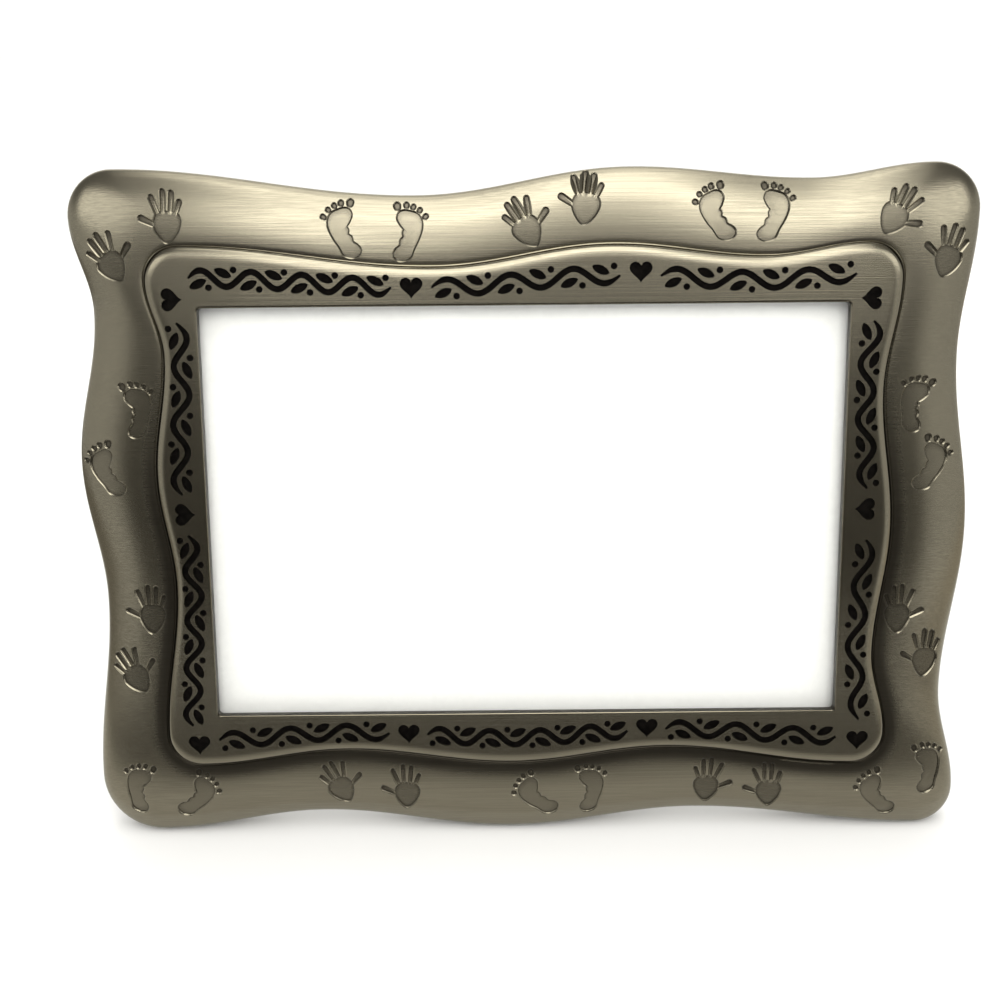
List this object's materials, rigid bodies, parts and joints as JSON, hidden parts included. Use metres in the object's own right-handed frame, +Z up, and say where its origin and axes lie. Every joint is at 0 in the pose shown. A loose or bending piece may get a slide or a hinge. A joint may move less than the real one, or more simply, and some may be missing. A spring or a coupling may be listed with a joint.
{
  "type": "photo frame",
  "caption": "Landscape table photo frame for a baby picture: wavy pewter coloured casting with a raised liner, glass front, velvet back and folding easel leg.",
  "frame": {"origin": "on the ground, under the middle of the standing frame's box", "axes": "+X to the viewer's right along the frame, +Y to the back, +Z up; the frame leans back on its leg"},
  "size_m": [0.2064, 0.06, 0.1534],
  "materials": {
    "pewter": "brushed, antiqued",
    "clear_glass": "clear",
    "white_card": "matt",
    "hardboard": "raw",
    "black_velvet": "flocked",
    "plated_steel": "satin",
    "zinc_screw": "bright",
    "brass_rivet": "satin"
  },
  "bodies": {
    "frame": {"frame_casting": "pewter", "glass_pane": "clear_glass", "photo_insert": "white_card", "backing_board": "hardboard", "backing_velvet": "black_velvet", "turn_screw_top_left": "zinc_screw", "turn_screw_top_right": "zinc_screw", "turn_screw_bottom_left": "zinc_screw", "turn_screw_bottom_right": "zinc_screw", "hinge_base": "plated_steel", "hinge_pin": "zinc_screw", "hinge_base_rivet_left": "brass_rivet", "hinge_base_rivet_right": "brass_rivet"},
    "easel_leg": {"hinge_leaf": "plated_steel", "hinge_leaf_rivet_upper": "brass_rivet", "hinge_leaf_rivet_lower": "brass_rivet", "leg_board": "hardboard", "leg_velvet": "black_velvet"},
    "button_top_left": {"turn_button_top_left": "plated_steel"},
    "button_top_right": {"turn_button_top_right": "plated_steel"},
    "button_bottom_left": {"turn_button_bottom_left": "plated_steel"},
    "button_bottom_right": {"turn_button_bottom_right": "plated_steel"}
  },
  "joints": [
    {"name": "easel_fold", "type": "hinge", "parent": "frame", "child": "easel_leg", "pos_m": [-0.0004, 0.00188, 0.10279], "axis": [-1, 0, 0], "range_deg": [0, 25]},
    {"name": "button_turn_top_left", "type": "hinge", "parent": "frame", "child": "button_top_left", "pos_m": [-0.0424, 0.00557, 0.12944], "axis": [0, 0.9744, -0.225], "continuous": true},
    {"name": "button_turn_top_right", "type": "hinge", "parent": "frame", "child": "button_top_right", "pos_m": [0.0416, 0.00557, 0.12944], "axis": [0, 0.9744, -0.225], "continuous": true},
    {"name": "button_turn_bottom_left", "type": "hinge", "parent": "frame", "child": "button_bottom_left", "pos_m": [-0.0424, -0.01908, 0.02265], "axis": [0, 0.9744, -0.225], "continuous": true},
    {"name": "button_turn_bottom_right", "type": "hinge", "parent": "frame", "child": "button_bottom_right", "pos_m": [0.0416, -0.01908, 0.02265], "axis": [0, 0.9744, -0.225], "continuous": true}
  ]
}
